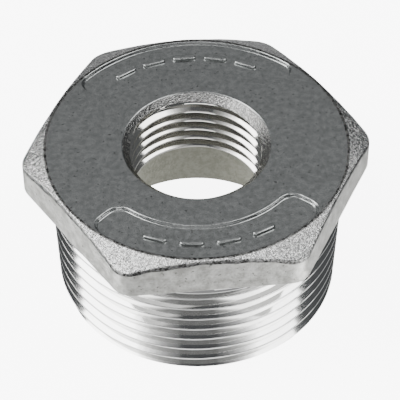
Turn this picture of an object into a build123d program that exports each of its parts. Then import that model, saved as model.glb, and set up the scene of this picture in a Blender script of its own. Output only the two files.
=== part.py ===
from build123d import *

# Reducing hex bushing, cast in stainless steel and machined on its threads and faces.
#
# One solid of revolution with a hexagonal head: a 1 1/4 inch taper pipe thread outside, a 1/2 inch
# parallel pipe thread in the head, and a wide cored recess below it that opens at the male end.
# Millimetres, +Z up along the axis. The origin is the centre of the male end face, on which the
# bushing stands. The hexagon's corners lie on X and two of its flats face +Y and -Y.
# The threads themselves are left off: the male end is the cone that touches the thread's crests,
# and the female bore is at the thread's minor diameter.

import os
from math import radians, tan

# ---------------------------------------------------------------- driving dimensions

# whole part and hexagonal head
length = 25.4  # male end face to the top face
across_flats = 44.0  # spanner size
hex_height = 6.2  # top face to the hexagon's underside
hex_corner_radius = 3.0  # rounding of the six upright corners
bevel_angle = 25.0  # slope of the cone that takes off the upper corners

# collar between the hexagon and the thread
collar_height = 1.35
collar_step = 0.4  # how far the collar stands inside the flats
collar_chamfer = 0.35  # on the collar's lower edge
collar_flare = 0.25  # widening that fills the corner below the hexagon

# male taper thread, 1 1/4 inch, 11 threads per inch
gauge_radius = 41.910 / 2  # crest radius on the gauge plane
gauge_length = 12.7  # male end face to the gauge plane
taper_ratio = 1 / 16  # change of diameter per length
lead_chamfer = 0.45  # at the male end, outside

# female parallel thread, 1/2 inch, 14 threads per inch
bore_radius = 18.631 / 2  # minor radius, the wall of the tapped hole
bore_depth = 10.95  # top face to the end of the thread
mouth_radius = 10.65  # countersink at the top face
mouth_angle = 90.0  # full angle of the countersink

# cored recess below the female thread
recess_radius = 16.2  # just inside the male end
recess_draft = 1.5  # slope of its wall, narrower upwards
recess_chamfer = 1.1  # at the male end, inside
shoulder_angle = 20.0  # slope of the shoulder between thread and recess
shoulder_fillet = 1.5  # where the shoulder meets the wall

# two sunk panels in the top face, one behind each of the flats that face +Y and -Y
panel_inner_radius = 15.5
panel_rim = 0.6  # width of the rim left outside each panel
panel_span = 100.0  # angle that each panel covers about the axis
panel_depth = 0.45
panel_corner_radius = 1.2
panel_wall_draft = 30.0  # lean of the panel's walls

# ---------------------------------------------------------------- worked out from them

head_radius = across_flats / 2  # circle inside the flats, where the bevel starts
hex_underside = length - hex_height
collar_radius = head_radius - collar_step
collar_underside = hex_underside - collar_height
radius_slope = taper_ratio / 2


def crest_radius(z):
    """Radius of the cone that touches the male thread's crests, at height z."""
    return gauge_radius + (z - gauge_length) * radius_slope


# the corners before rounding lie inside this circle, with room to spare
beyond_corners = across_flats
bevel_drop = (beyond_corners - head_radius) * tan(radians(bevel_angle))
mouth_depth = (mouth_radius - bore_radius) / tan(radians(mouth_angle / 2))
thread_end = length - bore_depth

# the recess wall leans in from its chamfer up to the shoulder, and both are straight lines in
# section, so their meeting point follows from the two slopes
draft_slope = tan(radians(recess_draft))
shoulder_slope = tan(radians(shoulder_angle))
recess_top = (
    thread_end - (recess_radius + recess_chamfer * draft_slope - bore_radius) * shoulder_slope
) / (1 - draft_slope * shoulder_slope)
recess_top_radius = recess_radius - (recess_top - recess_chamfer) * draft_slope

panel_outer_radius = head_radius - panel_rim

# ---------------------------------------------------------------- hex bushing

with BuildPart() as hex_bushing:
    # hexagonal head, with its upright corners rounded as the casting leaves them
    with BuildSketch(Plane.XY.offset(hex_underside)) as hexagon:
        RegularPolygon(head_radius, 6, major_radius=False)
        fillet(hexagon.vertices(), hex_corner_radius)
    extrude(amount=hex_height)

    # bevel: a shallow cone takes off the upper corners and just touches the flats
    with BuildSketch(Plane.XZ) as bevel_section:
        with BuildLine():
            Polyline(
                (head_radius, length),
                (beyond_corners, length),
                (beyond_corners, length - bevel_drop),
                close=True,
            )
        make_face()
    revolve(axis=Axis.Z, mode=Mode.SUBTRACT)

    # male end and collar: half section turned about the axis
    with BuildSketch(Plane.XZ) as male_section:
        with BuildLine():
            Polyline(
                (0, 0),
                (crest_radius(0) - lead_chamfer, 0),
                (crest_radius(lead_chamfer), lead_chamfer),
                (crest_radius(collar_underside), collar_underside),
                (collar_radius - collar_chamfer, collar_underside),
                (collar_radius, collar_underside + collar_chamfer),
                (collar_radius, hex_underside - collar_flare),
                (collar_radius + collar_flare, hex_underside),
                (0, hex_underside),
                close=True,
            )
        make_face()
    revolve(axis=Axis.Z)

    # the way through: countersunk mouth, tapped bore, sloping shoulder and drafted recess
    with BuildSketch(Plane.XZ) as way_through:
        with BuildLine():
            Polyline(
                (0, 0),
                (recess_radius + recess_chamfer, 0),
                (recess_radius, recess_chamfer),
                (recess_top_radius, recess_top),
                (bore_radius, thread_end),
                (bore_radius, length - mouth_depth),
                (mouth_radius, length),
                (0, length),
                close=True,
            )
        make_face()
        shoulder_corner = way_through.vertices().sort_by_distance((recess_top_radius, recess_top))[0]
        fillet(shoulder_corner, shoulder_fillet)
    revolve(axis=Axis.Z, mode=Mode.SUBTRACT)

    # sunk panels: ring sectors with round corners and leaning walls
    with BuildSketch(Plane.XY.offset(length)) as panels:
        with BuildLine():
            start = 90 - panel_span / 2
            outer_arc = CenterArc((0, 0), panel_outer_radius, start, panel_span)
            inner_arc = CenterArc((0, 0), panel_inner_radius, start, panel_span)
            Line(outer_arc @ 0, inner_arc @ 0)
            Line(outer_arc @ 1, inner_arc @ 1)
        make_face()
        fillet(panels.vertices(), panel_corner_radius)
        mirror(about=Plane.XZ)
    extrude(amount=-panel_depth, taper=panel_wall_draft, mode=Mode.SUBTRACT)

hex_bushing.part.label = "hex_bushing"

# ---------------------------------------------------------------- export

os.makedirs("parts", exist_ok=True)
export_step(hex_bushing.part, "parts/hex_bushing.step")
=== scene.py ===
# %% [markdown]
# # Cast stainless hex bushing
#
# The frame is one CAD solid, a bushing with plain cones where its threads are. This notebook dresses
# it with one closed skin that follows the same section, with the two pipe threads cut into it, the
# cast surface of the hexagonal head, and the machined steel of the threads.
#
# A screw modifier and boolean cuts could make it, but they leave long thin triangles that show on
# polished steel. Here every point comes from a formula, so the mesh has even rows that follow the
# thread. Sizes are in millimetres, and the mesh is written in metres.

# %% Load the frame
import math

import bmesh
import bpy
import numpy as np
from mathutils import Matrix, Vector


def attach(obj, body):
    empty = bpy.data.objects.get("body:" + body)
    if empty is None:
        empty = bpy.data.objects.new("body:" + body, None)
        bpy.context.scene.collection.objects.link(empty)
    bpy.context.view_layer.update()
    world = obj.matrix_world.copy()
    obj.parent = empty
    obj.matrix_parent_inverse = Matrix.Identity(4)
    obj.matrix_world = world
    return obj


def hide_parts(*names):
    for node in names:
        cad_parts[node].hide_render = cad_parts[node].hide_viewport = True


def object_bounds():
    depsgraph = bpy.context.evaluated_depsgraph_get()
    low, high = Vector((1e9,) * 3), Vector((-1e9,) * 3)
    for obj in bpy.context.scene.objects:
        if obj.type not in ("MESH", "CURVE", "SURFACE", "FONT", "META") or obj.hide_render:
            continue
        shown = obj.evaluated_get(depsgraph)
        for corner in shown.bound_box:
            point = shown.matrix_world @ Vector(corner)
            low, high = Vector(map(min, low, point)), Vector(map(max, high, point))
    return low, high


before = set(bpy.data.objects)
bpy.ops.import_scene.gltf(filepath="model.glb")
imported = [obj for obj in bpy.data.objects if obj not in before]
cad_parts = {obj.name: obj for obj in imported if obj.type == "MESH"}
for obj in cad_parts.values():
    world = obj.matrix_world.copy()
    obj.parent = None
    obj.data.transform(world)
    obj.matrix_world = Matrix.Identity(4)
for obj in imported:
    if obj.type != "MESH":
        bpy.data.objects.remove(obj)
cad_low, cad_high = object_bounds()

MM = 0.001
print("CAD box, mm:", [round(v / MM, 2) for v in (*cad_low, *cad_high)])

# %% [markdown]
# ## The head's sizes
#
# The head is a hexagon for a spanner. The bushing's height and its spanner size are read from the
# frame, so that the skin always fits the solid. The other sizes are the solid's own.

# %% Sizes of the head
length = (cad_high[2] - cad_low[2]) / MM
across_flats = (cad_high[1] - cad_low[1]) / MM
head_radius = across_flats / 2
hex_height = 6.2
hex_underside = length - hex_height
hex_corner_radius = 3.0
print("length", round(length, 2), " across flats", round(across_flats, 2), "mm")

# %% [markdown]
# ## Columns about the axis
#
# The skin is a grid. A row runs once round the axis, and a column is one angle. Even columns would do
# for all that is turned, but two sunk panels in the top face have end walls and round corners, which
# would come out ragged. So the columns stand closer there.

# %% Angles of the columns
EVEN_COLUMNS = 262
CLEAR_OF_ENDS = 0.2  # degrees: no even column stands nearer than this to one of a panel's own
CORNER_INSETS = (-0.5, 0, 0.2, 0.4, 0.6, 0.8, 1.0, 1.3, 1.7, 2.2, 2.7, 3.2, 3.8, 4.4, 5.1, 5.8, 6.6, 7.4)
PANEL_CENTRES = (np.pi / 2, 3 * np.pi / 2)
panel_half_angle = math.radians(50.0)


def column_angles():
    """Even angles about the axis, joined by those at each inset, in degrees, from the four panel ends.
    The first angle is 0 and the last a full turn, so the last column repeats the first."""
    even_angles = np.linspace(0, 2 * np.pi, EVEN_COLUMNS + 1)
    from_centre = panel_half_angle - np.radians(CORNER_INSETS)
    ends = np.concatenate([centre + side * from_centre for centre in PANEL_CENTRES for side in (-1, 1)])
    nearest = np.abs(even_angles[:, None] - ends).min(axis=1)
    return np.sort(np.concatenate([even_angles[nearest > np.radians(CLEAR_OF_ENDS)], ends]))


theta = column_angles()
even = np.ones_like(theta)  # makes a row out of one number
print("columns:", len(theta) - 1)

# %% [markdown]
# ## The hexagon's outline
#
# The casting's six upright edges are rounded. Seen from above, the outline is a function of the angle,
# which lets the hexagon share its columns with the turned parts and needs no boolean cut.

# %% Hexagon radius
def hexagon_radius(angle):
    """Distance from the axis to the hexagon's side at an angle. Corners lie at 0, 60, 120 ... degrees.
    A side is a straight line at half the spanner size; a corner is an arc centred on the corner's
    own line, tangent to both sides."""
    off_corner = np.abs((angle + np.pi / 6) % (np.pi / 3) - np.pi / 6)
    side = head_radius / np.cos(np.pi / 6 - off_corner)
    centre = (head_radius - hex_corner_radius) / math.cos(math.pi / 6)
    tangent = math.atan2(hex_corner_radius / 2, centre + hex_corner_radius * math.cos(math.pi / 6))
    under_root = np.maximum(hex_corner_radius**2 - (centre * np.sin(off_corner)) ** 2, 0)
    corner = centre * np.cos(off_corner) + np.sqrt(under_root)
    return np.where(off_corner < tangent, corner, side)


print("the hexagon's corner is", round(float(hexagon_radius(0.0)), 2), "mm from the axis")

# %% [markdown]
# ## Straight and rounded runs
#
# The section is a chain of straight runs joined by small arcs, as a casting and a turning tool leave
# it. A bevel modifier could round the corners, but it would also touch the thread, so the arcs are
# put into the rows themselves. A row is a pair of arrays, radius and height, with a value per column.

# %% Rows along an arc
def unit(v):
    """Each row of v over its own length."""
    return v / np.linalg.norm(v, axis=1, keepdims=True)


def rounded(before, corner, after, radius, steps):
    """Rows along the arc that rounds the corner between two straight runs. before, corner and after
    are (radius, height) pairs of numbers or of arrays. With half the corner's angle h, the arc's
    centre lies radius / sin h away on the line that halves the corner, and its ends radius / tan h
    away along the runs. Between them the two spokes are blended by the sines of the angle left and of
    the angle past, over the sine of the whole."""
    before, corner, after = (np.stack([p[0] * even, p[1] * even], axis=1) for p in (before, corner, after))
    back = unit(before - corner)
    ahead = unit(after - corner)
    half = np.arccos(np.clip((back * ahead).sum(axis=1, keepdims=True), -1, 1)) / 2
    centre = corner + unit(back + ahead) * (radius / np.sin(half))
    start = corner + back * (radius / np.tan(half)) - centre
    end = corner + ahead * (radius / np.tan(half)) - centre
    sweep = np.pi - 2 * half
    arc = []
    for part in np.arange(steps + 1) / steps:
        spokes = start * np.sin((1 - part) * sweep) + end * np.sin(part * sweep)
        arc.append(tuple((centre + spokes / np.sin(sweep)).T))
    return arc


quarter = rounded((0, 1), (0, 0), (1, 0), radius=0.5, steps=2)
print("middle of a quarter arc:", [round(float(v[0]), 3) for v in quarter[1]])

# %% Rows along a straight run
def straight(start, end, steps):
    """Rows between two (radius, height) pairs, without the two ends. Row k of n is the start times
    1 - k/n plus the end times k/n."""
    parts = [k / steps for k in range(1, steps)]
    return [tuple(start[i] * even * (1 - part) + end[i] * even * part for i in (0, 1)) for part in parts]


print("rows inside a run of 6 steps:", len(straight((0, 0), (1, 0), steps=6)))

# %% [markdown]
# ## Thread form
#
# A pipe thread has flanks that meet at 55 degrees. Here the crests are turned almost sharp, with a
# narrow flat, and the roots are rounded. The section is one function, the depth below the crest at a
# distance from it, both in pitches, so it serves the male and the female thread alike.

# %% Depth of a pipe thread
FLANK = math.radians(27.5)  # from a plane across the axis to either flank
CREST_HALF = 0.05  # half the crest's flat, before its corners are rounded
CREST_ROUND = 0.03  # radius of those corners
ROOT_ROUND = 0.183  # radius of the root
CREST_TANGENT = CREST_ROUND * math.tan((math.pi / 2 - FLANK) / 2)
CREST_ARC_END = CREST_HALF + CREST_TANGENT * math.sin(FLANK)
ROOT_ARC_HALF = ROOT_ROUND * math.cos(FLANK)
DEPTH = (0.5 - ROOT_ARC_HALF - CREST_HALF) / math.tan(FLANK) + ROOT_ROUND * (1 - math.sin(FLANK))


def thread_depth(phase):
    """Depth below the crest, in pitches, at a distance from the crest given in pitches. On the crest
    it is how far the corner's circle has fallen away from its top, on the flank the distance past the
    flat's edge over the tangent of FLANK, and in the root the height of the root's circle."""
    x = np.abs((np.asarray(phase) + 0.5) % 1.0 - 0.5)
    past_flat = np.maximum(x - (CREST_HALF - CREST_TANGENT), 0)
    crest = CREST_ROUND - np.sqrt(np.maximum(CREST_ROUND**2 - past_flat**2, 0))
    flank = (x - CREST_HALF) / math.tan(FLANK)
    from_root = 0.5 - x
    root = DEPTH - ROOT_ROUND + np.sqrt(np.maximum(ROOT_ROUND**2 - from_root**2, 0))
    return np.where(x < CREST_ARC_END, crest, np.where(from_root < ROOT_ARC_HALF, root, flank))


print("thread depth:", round(DEPTH, 3), "pitches")

# %% [markdown]
# ## Rows along the thread
#
# Level rows would cut across a thread and make its edges jagged. So each row is a helix that keeps its
# place on the thread, on the crest, a flank or the root, and climbs one pitch in a turn. Its end meets
# the start of the same row one turn higher, which closes the seam.

# %% Places of the rows on a thread
CREST_SUPPORT = 0.012  # from the end of the crest's rounding, in pitches
ROOT_SUPPORT = 0.015  # from the end of the root's arc


def thread_phases(crest_steps, root_steps):
    """Distances from a crest, in pitches over one turn, at which the rows of a thread lie: even angles
    round the crest's two corners and the root's arc, each placed by its sine, and on each flank a row
    just off the crest, with one just off the root on one side, which keep the flank's shading flat."""
    turned = np.linspace(0, 1, crest_steps + 1) * (np.pi / 2 - FLANK)
    corner = CREST_HALF - CREST_TANGENT + CREST_ROUND * np.sin(turned)
    root = 0.5 + ROOT_ROUND * np.sin(np.linspace(-1, 1, root_steps + 1) * (np.pi / 2 - FLANK))
    by_crest = corner[-1] + CREST_SUPPORT
    return np.concatenate([[-by_crest], -corner[::-1], corner, [by_crest, root[0] - ROOT_SUPPORT], root])


print("rows in a pitch:", len(thread_phases(crest_steps=2, root_steps=4)))

# %% Heights of the helical rows
def helical_rows(pitch, crest_height, crest_angle, low, high, phases, lifted=None):
    """Heights of the rows that follow a right-hand helix from low to high: the crest's height, whole
    pitches, the row's phase, and the pitch times the share of a turn past crest_angle. lifted may
    then move a row. What would leave the span is held at its ends, and a level row closes each end."""
    first = math.floor((low - crest_height) / pitch) - 2
    last = math.ceil((high - crest_height) / pitch) + 2
    starts = sorted((crest_height + pitch * (n + p), p) for n in range(first, last) for p in phases)
    climb = pitch * (theta - crest_angle) / (2 * np.pi)
    heights = [start + climb if lifted is None else lifted(start + climb, p) for start, p in starts]
    inside = [np.clip(h, low, high) for h in heights if h.max() > low and h.min() < high]
    return [low * even, *inside, high * even]


print("rows on 10 mm of a 2 mm pitch:", len(helical_rows(2, 0, 0, 0, 10, thread_phases(2, 4))))

# %% [markdown]
# ## Male thread
#
# The outside is a taper pipe thread, 11 to the inch. Its crests touch a cone that widens by 1 in 16 on
# diameter towards the head, and a 45 degree chamfer leads it in at the male end. The surface is the
# smaller of the two radii, the thread's and the chamfer's. Where a crest passes is set on the side
# that faces the camera, where the turns can be counted.

# %% Male thread surface
view_azimuth = math.radians(-95.78)  # direction from the axis to the camera, about +Z from +X
male_pitch = 25.4 / 11
gauge_radius = 41.910 / 2  # crest radius on the gauge plane
gauge_length = 12.7  # male end face to the gauge plane
radius_slope = 1 / 32
lead_radius = 20.1  # outer edge of the male end face
male_crest_height = 16.19  # height of a crest on the side that faces the camera


def crest_radius(z):
    """Radius of the cone that touches the male thread's crests, at height z: the gauge radius plus
    the height above the gauge plane times the slope."""
    return gauge_radius + (z - gauge_length) * radius_slope


def male_surface(z):
    """Radius of the threaded male end at height z, an array: the crest's cone less the thread's depth,
    or the chamfer where that is smaller."""
    phase = (z - male_crest_height) / male_pitch - (theta - view_azimuth) / (2 * np.pi)
    return np.minimum(crest_radius(z) - male_pitch * thread_depth(phase), lead_radius + z)


print("male thread depth:", round(male_pitch * DEPTH, 2), "mm")

# %% [markdown]
# ## Where the chamfer cuts the thread
#
# The chamfer takes the crest off the lowest turn. A strip that ran from the chamfer over onto the
# flank would lean a few degrees, and polished steel shows that as a dark band. So the row just above
# the crest is lifted there, and follows the line in which the flank meets the chamfer.

# %% Row along the chamfer's upper edge
def lifted_to_chamfer(z, phase):
    """Heights of one row of the male thread. Only the row just above each crest is moved, where it
    would lie on the chamfer. The flank's radius falls by 1 / tan FLANK for each millimetre of height
    and the chamfer's grows by one, so they meet at the difference of their radii at height 0 over
    the sum of those slopes, less the taper's."""
    if abs(phase - CREST_ARC_END - CREST_SUPPORT) > 1e-9:
        return z
    run = 1 / math.tan(FLANK)
    flank_foot = z - male_pitch * (phase - CREST_HALF)
    meeting = (crest_radius(0) - lead_radius + flank_foot * run) / (1 + run - radius_slope)
    return np.maximum(z, meeting)


tried = lifted_to_chamfer(np.array([0.2, 2.0]), CREST_ARC_END + CREST_SUPPORT)
print("rows at 0.2 and 2 mm end up at", tried.round(3))

# %% [markdown]
# ## Female thread
#
# The head is tapped with a parallel pipe thread, 14 to the inch, whose crests are the bore's wall. A
# 90 degree countersink cuts its start, so the thread fades in below the countersink.

# %% Female thread surface
female_pitch = 25.4 / 14
bore_radius = 18.631 / 2
bore_depth = 10.95  # top face to the end of the thread
thread_end = length - bore_depth
mouth_radius = 10.65  # countersink at the top face
female_crest_height = 19.04  # height of a crest on the side away from the camera
FADE_START = 0.9  # below the top face
FADE_LENGTH = 0.8


def female_surface(z):
    """Radius of the tapped bore at height z: the bore plus the thread's depth, which grows from
    nothing over the fade as 3 p^2 - 2 p^3, or the countersink's cone where that is wider."""
    phase = (z - female_crest_height) / female_pitch - (theta - view_azimuth - np.pi) / (2 * np.pi)
    below_cone = np.clip((length - z - FADE_START) / FADE_LENGTH, 0, 1)
    fade = below_cone * below_cone * (3 - 2 * below_cone)
    threaded = bore_radius + female_pitch * thread_depth(phase) * fade
    return np.maximum(threaded, mouth_radius - (length - z))


print("female thread depth:", round(female_pitch * DEPTH, 2), "mm")

# %% [markdown]
# ## Sunk panels
#
# The top face has two shallow panels, where a foundry sets its raised marks. Each is a ring sector
# with round corners and leaning walls. A boolean cut would break the even rows, so the face's own
# points are pressed down instead, by a distance that depends on how far inside the panel they lie.

# %% Depth of the panels
panel_inner = 15.5
panel_outer = head_radius - 0.6
panel_depth = 0.45
panel_corner = 2.2  # radius of the corners at the top of the wall
panel_wall = 0.36  # width of the leaning wall


def panel_drop(radius, angle):
    """How far the top face lies below its own plane at a place, 0 outside the panels. The distance to
    a panel's edge is that of a rounded rectangle in the plane of radius and arc, and the drop follows
    it across the wall as 3 p^2 - 2 p^3."""
    drop = np.zeros_like(radius)
    for centre in PANEL_CENTRES:
        off = np.abs((angle - centre + np.pi) % (2 * np.pi) - np.pi)
        across = np.abs(radius - (panel_inner + panel_outer) / 2) - (panel_outer - panel_inner) / 2
        along = -radius * np.sin(np.clip(panel_half_angle - off, -np.pi / 2, np.pi / 2))
        out_x = np.maximum(across + panel_corner, 0)
        out_y = np.maximum(along + panel_corner, 0)
        inside = np.minimum(np.maximum(across + panel_corner, along + panel_corner), 0)
        distance = inside + np.hypot(out_x, out_y) - panel_corner
        part = np.clip(-distance / panel_wall, 0, 1)
        drop = np.maximum(drop, panel_depth * part * part * (3 - 2 * part))
    return drop


print("a panel's floor lies", panel_drop(18.0 * even, theta).max(), "mm below the face")

# %% [markdown]
# ## The section, from the lip over the top face
#
# The rows are now listed in order round the section, each with the kind of surface that it belongs
# to. The list starts at the rounded lip between the countersink and the top face, and runs outwards.
# Rows stand close where they cross a panel's wall or corners, and wide elsewhere.

# %% Lip and top face
LIP_ROUND = 0.3
WALL_MARGIN = 0.04  # by which the close rows reach past a panel's wall
CORNER_MARGIN = 0.1
rows = []
kinds = []


def add(kind, new_rows):
    """Adds rows to the section; the strip that ends at each of them is of this kind."""
    for radius, height in new_rows:
        rows.append((radius * even, height * even))
        kinds.append(kind)


past_wall = panel_wall + WALL_MARGIN
past_corner = panel_corner + CORNER_MARGIN
face_radii = np.concatenate(
    [
        np.linspace(mouth_radius + 0.25, panel_inner - 0.2, 9),
        panel_inner + np.linspace(-WALL_MARGIN, past_wall, 8),
        panel_inner + np.linspace(past_wall + CORNER_MARGIN, past_corner, 15),
        np.linspace(panel_inner + panel_corner + 0.5, panel_outer - panel_corner - 0.5, 3),
        panel_outer - np.linspace(past_corner, past_wall + CORNER_MARGIN, 13),
        panel_outer - np.linspace(past_wall, -WALL_MARGIN / 2, 8),
    ]
)
lip = rounded(
    (mouth_radius - 1, length - 1), (mouth_radius, length), (mouth_radius + 1, length), LIP_ROUND, steps=4
)
add("mouth", lip[:1])
add("lip", lip[1:])
add("face", [(r * even, length - panel_drop(r * even, theta)) for r in face_radii])
print("rows so far:", len(rows), " last radius:", round(float(face_radii[-1]), 2), "mm")

# %% [markdown]
# ## Rim and bevel
#
# A 25 degree cone takes off the hexagon's upper corners. Tumbling has rounded the edges on both sides
# of it, so the bevel gets a small arc at its inner edge, the rim, and one at its outer edge.

# %% Rim and bevel rows
bevel_slope = math.tan(math.radians(25.0))
bevel_start = head_radius - 0.3
RIM_ROUND = 0.5
SHOULDER_ROUND = 0.38

flat = hexagon_radius(theta)
bevel_foot = length - (flat - bevel_start) * bevel_slope
top_edge = (bevel_start * even, length * even)
bevel_edge = (flat, bevel_foot)
flat_foot = (flat, hex_underside)
shoulder = rounded(top_edge, bevel_edge, flat_foot, SHOULDER_ROUND, steps=5)
# The rim takes the near-black finish, a painted dark reflection of the rounded edge.
add("rim", rounded((bevel_start - 1, length), top_edge, bevel_edge, RIM_ROUND, steps=3))
add("bevel", straight(top_edge, bevel_edge, steps=6))
add("bevel", shoulder[:3])
print("at a corner the bevel ends", round(float(length - bevel_foot.min()), 2), "mm below the top face")

# %% [markdown]
# ## Flats
#
# Below the bevel's outer edge runs a thin near-black line with an uneven lower border, a painted
# dark reflection of the rounded edge. A mask in the material could draw it. Here one row follows that
# border, because a row also keeps the line crisp. The flats below it end in a small arc.

# %% Painted dark line and flats
# The near-black line below the bevel, called scale here, is a painted dark reflection of the rounded edge.
DARK_LINE_WIDTH = 0.68  # mean distance from the bevel's edge to the scale's lower border
DARK_LINE_WAVES = ((0.10, 17, 1), (0.07, 43, 0))  # height, number in a turn, phase
FOOT_ROUND = 0.15
flat_end = hex_underside + 0.3

dark_line_foot = bevel_foot - DARK_LINE_WIDTH
for wave_height, count, phase in DARK_LINE_WAVES:
    dark_line_foot = dark_line_foot - wave_height * np.sin(count * theta + phase)
# The shoulder's lower arc and the band below it take the near-black finish: a painted dark reflection.
add("scale", shoulder[3:])
add("scale", [(flat, dark_line_foot)])
add("flat", straight((flat, dark_line_foot), (flat, flat_end), steps=6))
add("flat", [(flat, flat_end), (flat, flat_end - 0.1)])
add("flat", rounded((flat, hex_underside + 1), flat_foot, (flat - 1, hex_underside), FOOT_ROUND, steps=4))
print("the scale is up to", round(float(np.max(bevel_foot - dark_line_foot)), 2), "mm wide")

# %% [markdown]
# ## Underside and collar
#
# Below the head the blank is turned to a collar that stands a little inside the flats, with a rounded
# lower edge. Rows close to each corner keep the shading of the surfaces between them flat.

# %% Underside and collar rows
collar_radius = head_radius - 0.4
collar_height = 1.35
collar_underside = hex_underside - collar_height
COLLAR_ROUND = 0.3

add("underside", [(flat - 0.25, hex_underside), (collar_radius + 0.12, hex_underside)])
add("underside", [(collar_radius + 0.05, hex_underside)])
add("collar", [(collar_radius, hex_underside - 0.06), (collar_radius, collar_underside + 0.5)])
add("collar", [(collar_radius, collar_underside + 0.4)])
above = (collar_radius, hex_underside)
foot = (collar_radius, collar_underside)
inside = (collar_radius - 1, collar_underside)
add("collar", rounded(above, foot, inside, COLLAR_ROUND, steps=4))
print("collar from", round(collar_underside, 2), "to", round(hex_underside, 2), "mm")

# %% [markdown]
# ## Male thread and end face
#
# The thread runs from the collar down to the end face, a flat ring. A screw modifier could wind it,
# but its ends would stick out. Here the helical rows are held at both heights, so they end cleanly.

# %% Male thread and end face rows
recess_radius = 16.2  # just inside the male end
recess_chamfer = 1.1
male_end_inner = recess_radius + recess_chamfer

male_phases = thread_phases(crest_steps=2, root_steps=4)
male_rows = helical_rows(
    male_pitch, male_crest_height, view_azimuth, 0.0, collar_underside, male_phases, lifted_to_chamfer
)
add("male", [(male_surface(z), z) for z in reversed(male_rows)])
add("end", straight((lead_radius, 0), (male_end_inner, 0), steps=3))
add("end", [(male_end_inner, 0.0)])
print("rows on the male thread:", len(male_rows))

# %% [markdown]
# ## Recess
#
# A sand core has left a wide recess with a chamfered edge. Its wall leans in by 1.5 degrees, so that
# the core lets go, and a fillet leads to a shoulder that slopes up to the tapped bore.

# %% Recess and shoulder
recess_slope = math.tan(math.radians(1.5))
shoulder_slope = math.tan(math.radians(20.0))
wall_lean = 0.27  # how far in the wall has come where the shoulder starts
CHAMFER_ROUND = 0.5
SHOULDER_FILLET = 1.5

recess_top = thread_end - (recess_radius - wall_lean - bore_radius) * shoulder_slope
recess_top_radius = recess_radius - (recess_top - recess_chamfer) * recess_slope
wall_foot = (recess_radius, recess_chamfer)
wall_top = (recess_top_radius, recess_top)
add("recess", rounded((male_end_inner, 0), wall_foot, wall_top, CHAMFER_ROUND, steps=3))
add("recess", straight(wall_foot, (recess_top_radius, recess_top - 1), steps=5))
add("recess", rounded(wall_foot, wall_top, (bore_radius, thread_end), SHOULDER_FILLET, steps=6))
print("the recess is", round(recess_top, 2), "mm deep at its wall")

# %% [markdown]
# ## Tapped bore
#
# The tap runs out into the shoulder, so the shoulder's last row keeps just outside the thread's own
# outline. The thread's rows end a little below the lip, where the section began.

# %% Female thread rows
RUNOUT = 0.12  # from the thread's outline to the shoulder's last row
BELOW_TOP = 0.18  # from the top face to the thread's last row

female_phases = thread_phases(crest_steps=2, root_steps=2)
female_rows = helical_rows(
    female_pitch, female_crest_height, view_azimuth + np.pi, thread_end, length - BELOW_TOP, female_phases
)
thread_foot = female_surface(thread_end * even) + RUNOUT
below_foot = thread_end - 0.06 - (thread_foot - bore_radius) * shoulder_slope
shoulder_end = (thread_foot, thread_end - 0.1)
add("recess", straight((recess_top_radius - 1.2, recess_top + 0.4), shoulder_end, steps=3))
add("recess", [(thread_foot, below_foot)])
add("female", [(female_surface(z), z) for z in female_rows])
print("rows in all:", len(rows), " kinds:", sorted(set(kinds)))

# %% [markdown]
# ## The skin's unevenness
#
# A sand or shell mould leaves a slightly wavy skin, and the tumbled casting has soft, uneven edges.
# A displace modifier could add it, but it would move the threads too. Value noise on the rows gives
# each kind of surface its own amount. The threads, the collar, the end face and the recess have none.

# %% Value noise
CELLS = 16
lattice = np.random.default_rng(11).random((CELLS, CELLS, CELLS)) * 2 - 1


def wave(points, size):
    """Smooth noise between -1 and 1 at points in mm. Random numbers stand on a lattice with cells of
    the given size, which repeats every 16 cells. In between, the eight nearest are blended with the
    weights 3 p^2 - 2 p^3."""
    cell = points / size
    base = np.floor(cell).astype(int)
    part = cell - base
    part = part * part * (3 - 2 * part)
    total = np.zeros(points.shape[:-1])
    for corner in np.ndindex(2, 2, 2):
        weight = np.prod(np.where(corner, part, 1 - part), axis=-1)
        x, y, z = np.moveaxis((base + corner) % CELLS, -1, 0)
        total += weight * lattice[x, y, z]
    return total


print("noise at three places:", wave(np.array([[0.0, 0, 0], [7, 1, 2], [20, 3, 9]]), 5.1).round(2))

# %% Swells of the cast skin
SWELLS = ((0.030, 5.1, 0), (0.016, 1.9, 40), (0.010, 0.9, 80))  # height, cell size, shift of the place
UNEVENNESS = {
    "mouth": 0.7, "lip": 0.9, "face": 1.0, "rim": 1.6,
    "bevel": 1.6, "scale": 1.3, "flat": 1.0, "underside": 0.6,
}


def skin_points(radius, height):
    """Points from rows: radius times the cosine and the sine of the column's angle, and height."""
    return np.stack([radius * np.cos(theta), radius * np.sin(theta), height], axis=2)


def uneven(radius, height):
    """Moves the cast rows along the section's normal by three sizes of noise. The normal is a quarter
    turn from the direction between the rows on either side."""
    points = skin_points(radius, height)
    along_r = np.roll(radius, -1, 0) - np.roll(radius, 1, 0)
    along_z = np.roll(height, -1, 0) - np.roll(height, 1, 0)
    size = np.maximum(np.hypot(along_r, along_z), 1e-9)
    amount = np.array([UNEVENNESS.get(k, 0.0) for k in kinds])
    amount[0] = amount[-1] = 0
    shift = sum(swell * wave(points + place, cell) for swell, cell, place in SWELLS)
    shift *= amount[:, None]
    return radius - shift * along_z / size, height + shift * along_r / size


print("the swells come to at most", round(sum(s[0] for s in SWELLS), 3), "mm times the amount")

# %% [markdown]
# ## Which finish goes where
#
# The bushing is one steel, but each kind of surface was made in its own way. Every strip of the grid
# takes the finish of its kind: the rim and the line below the bevel are painted dark, a painted dark
# reflection of the rounded edges, the bevel and the countersink sandy, the flats smoother, and all
# that a tool has turned is bright.

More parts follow.
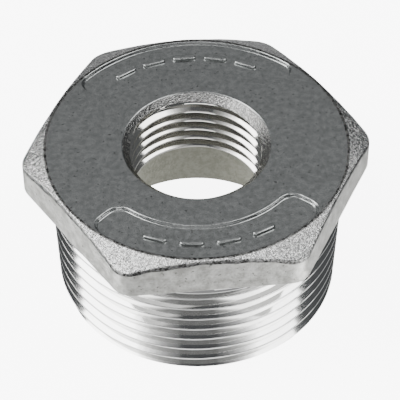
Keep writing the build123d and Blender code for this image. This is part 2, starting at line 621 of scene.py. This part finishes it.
# %% Surfaces that have each finish
SURFACES = {
    "blasted_face": ("lip", "face"),
    "sandy_bevel": ("bevel",),
    "tumbled_flat": ("flat",),
    "turned_thread": ("underside", "collar", "male", "end"),
    "cored_recess": ("recess",),
    "sandy_mouth": ("mouth",),
    # The rim and the line below the bevel get a painted dark reflection of the rounded edges.
    "painted_dark_edge": ("rim", "scale"),
    "tapped_bore": ("female",),
}
finish_index = {kind: k for k, finished in enumerate(SURFACES.values()) for kind in finished}
print("kinds without a finish:", len(set(kinds) - set(finish_index)))

# %% [markdown]
# ## Creases
#
# Smooth shading bends the light over an edge, so an edge that is really sharp has to be marked. Cast
# skin takes a high limit. On turned steel it is lower, or the crest would be shaded as if it leaned
# over the chamfer. Blender's own tool knows one limit for a whole mesh, so the edges are found here.

# %% Read a mesh into arrays
CAST_CREASE = math.radians(55)
TURNED_CREASE = math.radians(38)


def mesh_values(items, field, width=1):
    """One field of a mesh's points, edges, corners or faces as an array. Places and directions, three
    to an item, are fractions, and all else is whole numbers."""
    values = np.empty(len(items) * width, np.float32 if width == 3 else np.int32)
    items.foreach_get(field, values)
    return values.reshape(-1, width) if width > 1 else values


def faces_of_edges(mesh):
    """The two faces of each edge, or None unless the mesh is closed. Sorting the face corners by their
    edge puts the two that share an edge next to each other."""
    corner_edge = mesh_values(mesh.loops, "edge_index")
    if (np.bincount(corner_edge, minlength=len(mesh.edges)) != 2).any():
        return None
    size = mesh_values(mesh.polygons, "loop_total")
    face_of_corner = np.repeat(np.arange(len(size)), size)
    return face_of_corner[np.argsort(corner_edge, kind="stable")].reshape(-1, 2)


print("crease limits, degrees:", round(math.degrees(CAST_CREASE)), "and", round(math.degrees(TURNED_CREASE)))

# %% Mark the sharp edges
def cut_by_chamfer(mesh, turned):
    """Which faces of the male thread run over the chamfer's upper edge: some of their points, but not
    all, lie on the chamfer, where the distance from the axis less the height is the lead radius."""
    x, y, z = mesh_values(mesh.vertices, "co", 3).T
    on_chamfer = np.abs(np.hypot(x, y) - z - lead_radius * MM) < 1e-6
    corner_point = mesh_values(mesh.loops, "vertex_index")
    start = mesh_values(mesh.polygons, "loop_start")
    touching = np.add.reduceat(on_chamfer[corner_point].astype(int), start)
    return turned & (touching > 0) & (touching < mesh_values(mesh.polygons, "loop_total"))


def mark_creases(mesh, sides):
    """Marks an edge sharp where the cosine of the angle between its two faces is below the limit's,
    and along the rows on both sides of a strip that runs over the chamfer's upper edge, so that the
    flank keeps its own true shading right up to it."""
    turned = mesh_values(mesh.polygons, "material_index") == finish_index["male"]
    normal = mesh_values(mesh.polygons, "normal", 3)
    cosine = (normal[sides[:, 0]] * normal[sides[:, 1]]).sum(axis=1)
    limit = np.where(turned[sides].all(axis=1), math.cos(TURNED_CREASE), math.cos(CAST_CREASE))
    x, y, _ = mesh_values(mesh.vertices, "co", 3).T
    ends = np.arctan2(y, x)[mesh_values(mesh.edges, "vertices", 2)]
    along_row = np.abs(ends[:, 0] - ends[:, 1]) > 1e-5
    parted = along_row & cut_by_chamfer(mesh, turned)[sides].any(axis=1)
    sharp = (cosine < limit) | parted
    mesh.edges.foreach_set("use_edge_sharp", sharp)
    print(mesh.name, int(sharp.sum()), "sharp edges,", int(parted.sum()), "of them along the chamfer")


print("the chamfer starts at the radius", lead_radius, "mm")

# %% [markdown]
# ## From rows to a closed mesh
#
# The last column repeats the first, one pitch further along each thread. Merging the points that lie
# together closes that seam and the ends of the helical rows. The faces are then turned outwards, and
# the volume is measured, which would be negative if they faced in.

# %% Make a mesh piece
MERGE_DISTANCE = 2e-7  # metres


def new_piece(name, points, faces, finish=None):
    """A mesh object at the origin from points in mm and faces, smooth, closed and facing outwards."""
    mesh = bpy.data.meshes.new(name)
    mesh.from_pydata(np.asarray(points) * MM, [], faces)
    if finish is not None:
        mesh.polygons.foreach_set("material_index", np.asarray(finish, np.int32))
    mesh.polygons.foreach_set("use_smooth", np.ones(len(mesh.polygons), bool))
    work = bmesh.new()
    work.from_mesh(mesh)
    bmesh.ops.remove_doubles(work, verts=work.verts, dist=MERGE_DISTANCE)
    bmesh.ops.recalc_face_normals(work, faces=work.faces)
    volume = work.calc_volume(signed=True) / MM**3
    work.to_mesh(mesh)
    work.free()
    sides = faces_of_edges(mesh)
    if sides is not None:
        mark_creases(mesh, sides)
    mesh.update()
    piece = bpy.data.objects.new(name, mesh)
    bpy.context.scene.collection.objects.link(piece)
    triangles = len(mesh.loops) - 2 * len(mesh.polygons)
    print(name, triangles, "triangles, closed:", sides is not None, " volume", round(volume, 1), "mm3")
    return piece


print("points closer than", round(MERGE_DISTANCE / MM, 6), "mm are merged")

# %% The bushing's skin
CONE_TOLERANCE = 0.01


def build_body():
    """The bushing's whole skin as one mesh object. Rows k and k + 1 and columns j and j + 1 make one
    quad, whose finish is that of row k + 1. Quads of the female thread on the countersink's cone,
    where the radius plus the depth below the top is the mouth's radius, take the mouth's finish."""
    radius = np.array([r for r, _ in rows])
    height = np.array([z for _, z in rows])
    radius, height = uneven(radius, height)
    count_rows, count_columns = radius.shape
    index = np.arange(count_rows * count_columns).reshape(count_rows, count_columns)
    below = np.roll(index, -1, axis=0)
    quads = np.stack([index[:, :-1], below[:, :-1], below[:, 1:], index[:, 1:]], axis=2).reshape(-1, 4)
    finish = np.repeat(np.roll([finish_index[k] for k in kinds], -1), count_columns - 1)
    on_cone = (np.abs(radius - mouth_radius + length - height) < CONE_TOLERANCE).reshape(-1)
    finish[on_cone[quads].all(axis=1)] = finish_index["mouth"]
    return new_piece("bushing_skin", skin_points(radius, height).reshape(-1, 3), quads, finish)


body = build_body()
print("faces of the skin:", len(body.data.polygons))

# %% [markdown]
# ## Raised marks in the panels
#
# A foundry puts raised marks in such panels. Here they are plain short bars, evenly spaced, which say
# nothing. A bevelled curve would be too crisp for a casting. So each bar is a dome pulled apart:
# rings shrink from a flared foot, sunk a little into the floor, up to the crown.

# %% One raised bar
RING_POINTS = 24
FOOT_SHARES = (1.25, 1.12)  # of half the bar's width
FOOT_HEIGHTS = (-0.2, -0.01)  # above the panel's floor
SIDE_TOP = 0.72
SIDE_BULGE = 0.34  # by which the side is wider at its foot than at its top
SIDE_START = 0.04
CROWN_SHARES = (0.45, 0.1)
CROWN_RISE = 0.02  # from the top of the side to the crown


def raised_mark(centre_angle, centre_radius, bar_length, bar_width, rise):
    """Points and faces of one bar. At ring angle a and ring radius q the point lies q cos a + half the
    bar along the bar, on either side, and q sin a across it. The bar runs along the panel's arc, so a
    point moves inwards by the square of its way along over twice the arc's radius."""
    around = np.linspace(0, 2 * np.pi, RING_POINTS, endpoint=False) + np.pi / RING_POINTS
    lean = np.linspace(0, np.pi / 2, 5)
    side_shares = SIDE_TOP + SIDE_BULGE * np.cos(lean)
    side_heights = SIDE_START + (rise - SIDE_START - CROWN_RISE) * np.sin(lean)
    ring_radius = bar_width / 2 * np.concatenate([FOOT_SHARES, side_shares, CROWN_SHARES])
    ring_height = np.concatenate([FOOT_HEIGHTS, side_heights, [rise, rise]])
    along = ring_radius[:, None] * np.cos(around) + np.sign(np.cos(around)) * bar_length / 2
    across = ring_radius[:, None] * np.sin(around)
    height = length - panel_depth + ring_height[:, None] + 0 * along
    cos_c, sin_c = math.cos(centre_angle), math.sin(centre_angle)
    radius = centre_radius - across - along**2 / (2 * centre_radius)
    points = np.stack([radius * cos_c - along * sin_c, radius * sin_c + along * cos_c, height], axis=2)
    index = np.arange(points.shape[0] * RING_POINTS).reshape(-1, RING_POINTS)
    after = np.roll(index, -1, axis=1)
    quads = np.stack([index[:-1], after[:-1], after[1:], index[1:]], axis=2).reshape(-1, 4)
    return points.reshape(-1, 3), [*quads.tolist(), index[0, ::-1].tolist(), index[-1].tolist()]


print("points of one bar:", len(raised_mark(0, 18, bar_length=2.5, bar_width=0.9, rise=0.4)[0]))

# %% Rows of bars
BAR_LENGTH = 2.5
BAR_WIDTH = 0.9
BAR_RISE = 0.4


def mark_row(name, panel_angle, count, spacing, middle_radius):
    """One closed shell for each bar of a panel, all in one object. The bars lie spacing degrees apart,
    and the panel's angle halves their row."""
    all_points, all_faces = [], []
    for k in range(count):
        angle = panel_angle + math.radians(spacing) * (k - (count - 1) / 2)
        points, faces = raised_mark(angle, middle_radius, BAR_LENGTH, BAR_WIDTH, BAR_RISE)
        all_points.append(points)
        all_faces += [[v + k * len(points) for v in face] for face in faces]
    return new_piece(name, np.concatenate(all_points), all_faces)


back_marks = mark_row("back_panel_marks", math.pi / 2, count=5, spacing=14.5, middle_radius=18.3)
front_marks = mark_row("front_panel_marks", -math.pi / 2, count=4, spacing=16.0, middle_radius=18.5)
print("faces of the marks:", len(back_marks.data.polygons), "and", len(front_marks.data.polygons))

# %% [markdown]
# ## Cast and turned finishes
#
# What differs between the finishes is the size and the depth of what each process left. An image
# would need unwrapping, so all of it is noise on the piece's own coordinates, in three layers: mottle
# changes colour and gloss slowly, grain gives the bump and fine specks, and pits are small and dark.

# %% Nodes for noise, ranges and mixtures
def noise_layer(tree, place, size_mm, detail, shift):
    """Noise about 0.5 whose features are about size_mm wide, moved by shift metres so that two layers
    of one size differ."""
    node = tree.nodes.new("ShaderNodeTexNoise")
    node.inputs["Scale"].default_value = 1000 / size_mm
    node.inputs["Detail"].default_value = detail
    mapping = tree.nodes.new("ShaderNodeMapping")
    mapping.inputs["Location"].default_value = (shift, -shift, 2 * shift)
    tree.links.new(place, mapping.inputs["Vector"])
    tree.links.new(mapping.outputs["Vector"], node.inputs["Vector"])
    return node.outputs["Fac"]


def ranged(tree, value, low, high, to_low, to_high):
    """value carried in proportion from low..high over to to_low..to_high, and held at its ends."""
    node = tree.nodes.new("ShaderNodeMapRange")
    for socket, number in zip(node.inputs[1:5], (low, high, to_low, to_high)):
        socket.default_value = number
    tree.links.new(value, node.inputs[0])
    return node.outputs[0]


def mixed(tree, factor, first, second):
    """first times 1 - factor plus second times factor. Each is a colour or a node's output."""
    node = tree.nodes.new("ShaderNodeMix")
    node.data_type = "RGBA"
    tree.links.new(factor, node.inputs[0])
    for socket, colour in ((node.inputs[6], first), (node.inputs[7], second)):
        if isinstance(colour, tuple):
            socket.default_value = (*colour, 1)
        else:
            tree.links.new(colour, socket)
    return node.outputs[2]


print("features 0.3 mm wide need the scale", round(1000 / 0.3))

# %% One steel
SPECK_REACH = 0.16  # from the noise's middle to where it is fully dark or fully light
PIT_EDGE = 0.06
PIT_SHADE = 0.5  # a pit's colour over the dark one
GLOSS_RANGE = (0.3, 0.7)  # of the mottle, over which the roughness changes
steels = {}


def steel_finish(
    name, light, dark, mottle_mm, rough, grain_mm, grain_depth, pit_mm, pit_level, speckle=1.0, matt=0.0
):
    """Adds to steels one between a light and a dark colour, with a roughness between the two of rough.
    The colour follows the mottle plus speckle times the grain, and the bump is grain_depth mm high.
    Pits lie where their noise passes pit_level. matt is the share that scatters light instead of
    mirroring it, as a film of oxide does."""
    material = bpy.data.materials.new(name)
    material.use_nodes = True
    tree = material.node_tree
    shader = tree.nodes["Principled BSDF"]
    shader.inputs["Metallic"].default_value = 1.0 - matt
    place = tree.nodes.new("ShaderNodeTexCoord").outputs["Object"]
    mottle = noise_layer(tree, place, mottle_mm, detail=5, shift=0.01)
    grain = noise_layer(tree, place, grain_mm, detail=3, shift=0.02)
    pits = noise_layer(tree, place, pit_mm, detail=4, shift=0.03)

    specks = tree.nodes.new("ShaderNodeMath")
    specks.operation = "MULTIPLY_ADD"
    specks.inputs[1].default_value = speckle
    tree.links.new(grain, specks.inputs[0])
    tree.links.new(mottle, specks.inputs[2])
    middle = 0.5 + 0.5 * speckle
    lightness = ranged(tree, specks.outputs[0], middle - SPECK_REACH, middle + SPECK_REACH, 0, 1)
    colour = mixed(tree, lightness, dark, light)
    pitted = ranged(tree, pits, pit_level, pit_level + PIT_EDGE, 0, 1)
    pit_colour = tuple(v * PIT_SHADE for v in dark)
    tree.links.new(mixed(tree, pitted, colour, pit_colour), shader.inputs["Base Color"])
    tree.links.new(ranged(tree, mottle, *GLOSS_RANGE, *rough), shader.inputs["Roughness"])

    bump = tree.nodes.new("ShaderNodeBump")
    bump.inputs["Strength"].default_value = 1.0
    bump.inputs["Distance"].default_value = grain_depth * MM
    tree.links.new(grain, bump.inputs["Height"])
    tree.links.new(bump.outputs["Normal"], shader.inputs["Normal"])
    steels[name] = material


print("a speck goes from dark to light over", 2 * SPECK_REACH, "of the noise")

# %% [markdown]
# ## Cast steels
#
# The face is shot blasted to an even grey with a few pits. The bevel and the countersink keep the
# sandy skin of the mould, which glitters because its grain is deep and its gloss high. The flats are
# tumbled to a dull sheen. The recess is dull too, with a warm tint from the core, and the rim and the
# line below the bevel are painted nearly black, a painted dark reflection of the rounded edges.

# %% Face, bevel and countersink
steel_finish(
    "blasted_face", light=(0.41, 0.42, 0.415), dark=(0.33, 0.34, 0.335), mottle_mm=0.8, rough=(0.21, 0.26),
    grain_mm=0.3, grain_depth=0.012, pit_mm=0.45, pit_level=0.645, speckle=0.3,
)
steel_finish(
    "sandy_bevel", light=(0.72, 0.72, 0.71), dark=(0.28, 0.28, 0.275), mottle_mm=0.33, rough=(0.13, 0.2),
    grain_mm=0.25, grain_depth=0.17, pit_mm=0.4, pit_level=0.66,
)
steel_finish(
    "sandy_mouth", light=(0.42, 0.42, 0.41), dark=(0.2, 0.2, 0.195), mottle_mm=0.3, rough=(0.16, 0.24),
    grain_mm=0.2, grain_depth=0.1, pit_mm=0.4, pit_level=0.72,
)
print("steels made:", list(steels))

# %% Flats, recess and painted dark edges
steel_finish(
    "tumbled_flat", light=(0.48, 0.48, 0.46), dark=(0.29, 0.29, 0.27), mottle_mm=1.6, rough=(0.36, 0.46),
    grain_mm=0.4, grain_depth=0.05, pit_mm=0.6, pit_level=0.65, speckle=0.5, matt=0.13,
)
steel_finish(
    "cored_recess", light=(0.325, 0.325, 0.272), dark=(0.245, 0.245, 0.20), mottle_mm=1.2, rough=(0.42, 0.5),
    grain_mm=0.4, grain_depth=0.08, pit_mm=0.6, pit_level=0.7, speckle=0.6,
)
# Near black for the rim and the line below the bevel: a painted dark reflection of the rounded edges.
steel_finish(
    "painted_dark_edge", light=(0.22, 0.22, 0.215), dark=(0.04, 0.04, 0.038), mottle_mm=0.6, rough=(0.25, 0.35),
    grain_mm=0.3, grain_depth=0.1, pit_mm=0.4, pit_level=0.7, speckle=1.2,
)
print("steels made:", list(steels))

# %% [markdown]
# ## Turned steels
#
# A cutting tool leaves steel bright and nearly even, so the grain has no depth and the pits are all
# but off. The tapped bore scatters a little more light, and is a shade warmer.

# %% Threads
BARE = {"mottle_mm": 2.0, "grain_mm": 0.9, "grain_depth": 0.0, "pit_mm": 0.9, "pit_level": 0.9}
steel_finish(
    "turned_thread", light=(0.60, 0.60, 0.59), dark=(0.57, 0.57, 0.56), rough=(0.075, 0.095), **BARE
)
steel_finish(
    "tapped_bore", light=(0.58, 0.575, 0.55), dark=(0.55, 0.545, 0.52), rough=(0.06, 0.085),
    matt=0.05, **BARE,
)
print("steels made:", list(steels))

# %% [markdown]
# ## Dress the pieces
#
# The skin stands for the CAD solid. The marks are part of the casting, so they have the face's steel
# and ride on the same body.

# %% Finishes and bodies
for name in SURFACES:
    body.data.materials.append(steels[name])
for marks in (back_marks, front_marks):
    marks.data.materials.append(steels["blasted_face"])
for piece in (body, back_marks, front_marks):
    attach(piece, "root")
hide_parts("hex_bushing")
print("finishes on the skin:", [slot.name for slot in body.material_slots])

# %% [markdown]
# ## White table and dim room
#
# The bushing stands on a table that glows so brightly that it has no edge. Polished steel would show
# it as plain white and lose its dark lines, so mirrored light passes through the table, and meets
# cards that lie just under it. The rest of the room is a dim grey.

# %% Table and room
TABLE_GLOW = 8.0
ROOM_GREY = (0.11, 0.115, 0.12, 1)


def glow(name, colour, strength):
    """A plain pale surface that gives off its own light."""
    material = bpy.data.materials.new(name)
    material.use_nodes = True
    shader = material.node_tree.nodes["Principled BSDF"]
    shader.inputs["Base Color"].default_value = (*colour, 1)
    shader.inputs["Roughness"].default_value = 0.9
    shader.inputs["Emission Color"].default_value = (*colour, 1)
    shader.inputs["Emission Strength"].default_value = strength
    return material


bpy.ops.mesh.primitive_plane_add(size=6.0, location=(0, 0, 0))
floor = bpy.context.object
floor.name = "floor"
floor.data.materials.append(glow("white_table", (0.9, 0.9, 0.9), TABLE_GLOW))
floor.visible_glossy = False

world = bpy.data.worlds.new("studio")
bpy.context.scene.world = world
world.use_nodes = True
world.node_tree.nodes["Background"].inputs["Color"].default_value = ROOM_GREY
world.node_tree.nodes["Background"].inputs["Strength"].default_value = 1.0
print("table, m:", [round(v, 2) for v in floor.dimensions])

# %% [markdown]
# ## Light cards
#
# Polished steel shows what stands round it, so the lights are placed as things to be mirrored: each
# bright and each dark part of a thread is the mirror image of a card or of a gap between two. An area
# light shows as an even card of its own size, which makes its brightness easy to choose.

# %% Make a light card
DOWN = (0, 0, -1)
UP = (0, 0, 1)
turn = Matrix.Rotation(view_azimuth + math.pi / 2, 3, "Z")


def light_card(name, centre, size, radiance, look=DOWN):
    """An area light that the camera doesn't see. centre and look are along the camera's own axes: x to
    the right, y away from the camera and z up, in metres. A light of power P and area A has the
    radiance P / (pi A). The sides of a card that looks up or down lie along those axes too."""
    lamp = bpy.data.lights.new(name, "AREA")
    lamp.shape = "RECTANGLE"
    lamp.size, lamp.size_y = size
    lamp.energy = radiance * math.pi * size[0] * size[1]
    card = bpy.data.objects.new(name, lamp)
    bpy.context.scene.collection.objects.link(card)
    card.location = turn @ Vector(centre)
    if look in (UP, DOWN):
        rotation = turn @ Vector(look).to_track_quat("-Z", "Y").to_matrix()
    else:
        rotation = (turn @ Vector(look)).to_track_quat("-Z", "Y").to_matrix()
    card.rotation_euler = rotation.to_euler()
    card.visible_camera = False
    return card


print("the camera's axes are turned by", round(math.degrees(view_azimuth) + 90, 2), "degrees")

# %% [markdown]
# ## Soft boxes above
#
# The upper flanks of the male thread mirror the ceiling. A large soft box on either side makes their
# bright parts, and the gap between the two makes the dark middle. Two fainter cards bridge that gap
# behind and in front, where it would be too dark.

# %% Soft boxes and bridges
CEILING = 0.62
LEFT_BOX = 11
RIGHT_BOX = 8
light_card("softbox_left", (-0.48, 0.01, CEILING), size=(0.34, 0.54), radiance=LEFT_BOX)
light_card("softbox_right", (0.3775, 0.03, CEILING), size=(0.235, 0.5), radiance=RIGHT_BOX)
light_card("back_bridge", (-0.02, 0.25, CEILING), size=(0.3, 0.12), radiance=1.6)
light_card("front_bridge", (-0.02, -0.55, CEILING), size=(0.5, 0.2), radiance=4.8)
print("lights:", len(bpy.data.lights))

# %% [markdown]
# ## Walls of light at the sides
#
# Towards its left and right edges the thread mirrors what stands beside it and low. Two upright cards
# do that, mostly below the table's plane, where only mirrored light can reach them. A smaller one on
# the left stands higher.

# %% Side walls
WALL_HEIGHT = -0.105
LEFT_WALL = 7
RIGHT_WALL = 6
light_card("left_wall", (-0.5, -0.185, WALL_HEIGHT), size=(0.67, 0.33), radiance=LEFT_WALL, look=(1, 0, 0))
light_card("right_wall", (0.5, -0.27, WALL_HEIGHT), size=(0.49, 0.33), radiance=RIGHT_WALL, look=(-1, 0, 0))
light_card("left_upper_card", (-0.5, -0.1, 0.27), size=(0.3, 0.2), radiance=6, look=(0.5, 0.1, -0.27))
print("lights:", len(bpy.data.lights))

# %% [markdown]
# ## Dim cards under the table
#
# The thread's crests and roots mirror the table near the bushing. Three cards just under it are what
# they see: a dim one on which the bushing stands, a brighter strip along its front, and a long dark
# one towards the camera, which makes the dark lines.

# %% Table cards
UNDER_TABLE = -0.003
FRONT_MIDDLE = -0.325  # middle of the cards that reach from the bushing towards the camera
light_card("table_beside", (0, 0.06, UNDER_TABLE), size=(0.092, 0.156), radiance=0.85, look=UP)
light_card("table_near", (0, -0.0245, UNDER_TABLE), size=(0.07, 0.013), radiance=2.5, look=UP)
light_card("table_before", (-0.004, FRONT_MIDDLE, UNDER_TABLE), size=(0.05, 0.588), radiance=0.35, look=UP)
print("lights:", len(bpy.data.lights))

# %% [markdown]
# ## Feathered edges
#
# A real soft box fades at its edge, and so do the bright parts of the threads. One even card would
# end in a hard step. So strips continue each card into the gap, each with a fixed share of the
# radiance before it, because equal ratios look like equal steps.

# %% Fading strips of the table and of the soft boxes
TABLE_EDGE = 4
FADE = 0.57  # each strip's radiance over that of the one before
for k, share in enumerate((0.9, 0.45, 0.22, 0.11)):
    left = (-0.0515 + 0.005 * k, FRONT_MIDDLE, UNDER_TABLE)
    right = (0.033 - 0.004 * k, FRONT_MIDDLE, UNDER_TABLE)
    light_card(f"table_left_feather_{k}", left, (0.005, 0.588), TABLE_EDGE * share, look=UP)
    light_card(f"table_right_feather_{k}", right, (0.004, 0.588), TABLE_EDGE * share, look=UP)
for k in range(7):
    share = FADE ** (k + 1)
    light_card(f"left_feather_{k}", (-0.295 + 0.03 * k, 0.01, CEILING), (0.03, 0.54), LEFT_BOX * share)
    light_card(f"right_feather_{k}", (0.247 - 0.026 * k, 0.03, CEILING), (0.026, 0.5), RIGHT_BOX * share)
print("lights:", len(bpy.data.lights))

# %% Fading strips of the side walls
STRIP_DISTANCE = 0.72
FIRST_BEARING = 41.5  # degrees from the direction towards the camera
BEARING_STEP = 5
for k in range(6):
    bearing = math.radians(FIRST_BEARING - BEARING_STEP * k)
    x = STRIP_DISTANCE * math.sin(bearing)
    y = -STRIP_DISTANCE * math.cos(bearing)
    for name, side, wall in (("left", -1, LEFT_WALL), ("right", 1, RIGHT_WALL)):
        place = (side * x, y, WALL_HEIGHT)
        inwards = (-side * x, -y, 0)
        light_card(f"{name}_wall_feather_{k}", place, (0.063, 0.33), wall * FADE ** (k + 1), inwards)
print("lights:", len(bpy.data.lights))

# %% [markdown]
# ## Bright cards under the table, and screens
#
# On both sides of the dark card the table is mirrored brightly. The top face mirrors what stands
# behind the bushing, and the roots of the thread what stands low in front of it. Two wide, dim
# screens there keep both from going black.

# %% Bright table and screens
light_card("table_left", (-0.104, FRONT_MIDDLE, UNDER_TABLE), size=(0.1, 0.6), radiance=7, look=UP)
light_card("table_right", (0.085, FRONT_MIDDLE, UNDER_TABLE), size=(0.1, 0.6), radiance=8, look=UP)
light_card("front_screen", (0, -0.9, 0.17), size=(1.6, 0.34), radiance=0.55, look=(0, 1, -0.17))
light_card("back_screen", (-0.15, 0.9, 0.60), size=(1.1, 1.1), radiance=0.235, look=(0, -0.75, -0.66))
print("lights:", len(bpy.data.lights))

# %% [markdown]
# ## Camera
#
# The camera looks down at 47 degrees from nearby, so the bushing narrows towards its male end. It is
# placed by its direction and distance from a point on the axis. Its lens is given as a number of
# picture widths, which doesn't depend on the sensor.

# %% Place the camera
view_elevation = math.radians(47.17)
view_distance = 291.3
view_target_height = length - 10.0
view_roll = math.radians(-0.15)
focal_in_frames = 4.9935  # focal length over the picture's width
SENSOR_WIDTH = 36.0

camera_data = bpy.data.cameras.new("camera")
camera = bpy.data.objects.new("camera", camera_data)
bpy.context.scene.collection.objects.link(camera)
level = math.cos(view_elevation)
away = Vector((level * math.cos(view_azimuth), level * math.sin(view_azimuth), math.sin(view_elevation)))
camera.location = Vector((0, 0, view_target_height * MM)) + away * view_distance * MM
facing = (-away).to_track_quat("-Z", "Y").to_matrix() @ Matrix.Rotation(view_roll, 3, "Z")
camera.rotation_euler = facing.to_euler()
camera_data.sensor_width = SENSOR_WIDTH
camera_data.lens = SENSOR_WIDTH * focal_in_frames
camera_data.shift_x = 0.008
camera_data.shift_y = -0.0202
camera_data.clip_start = 0.01
camera_data.clip_end = 20.0
bpy.context.scene.camera = camera
print("camera at, mm:", [round(v / MM, 1) for v in camera.location])
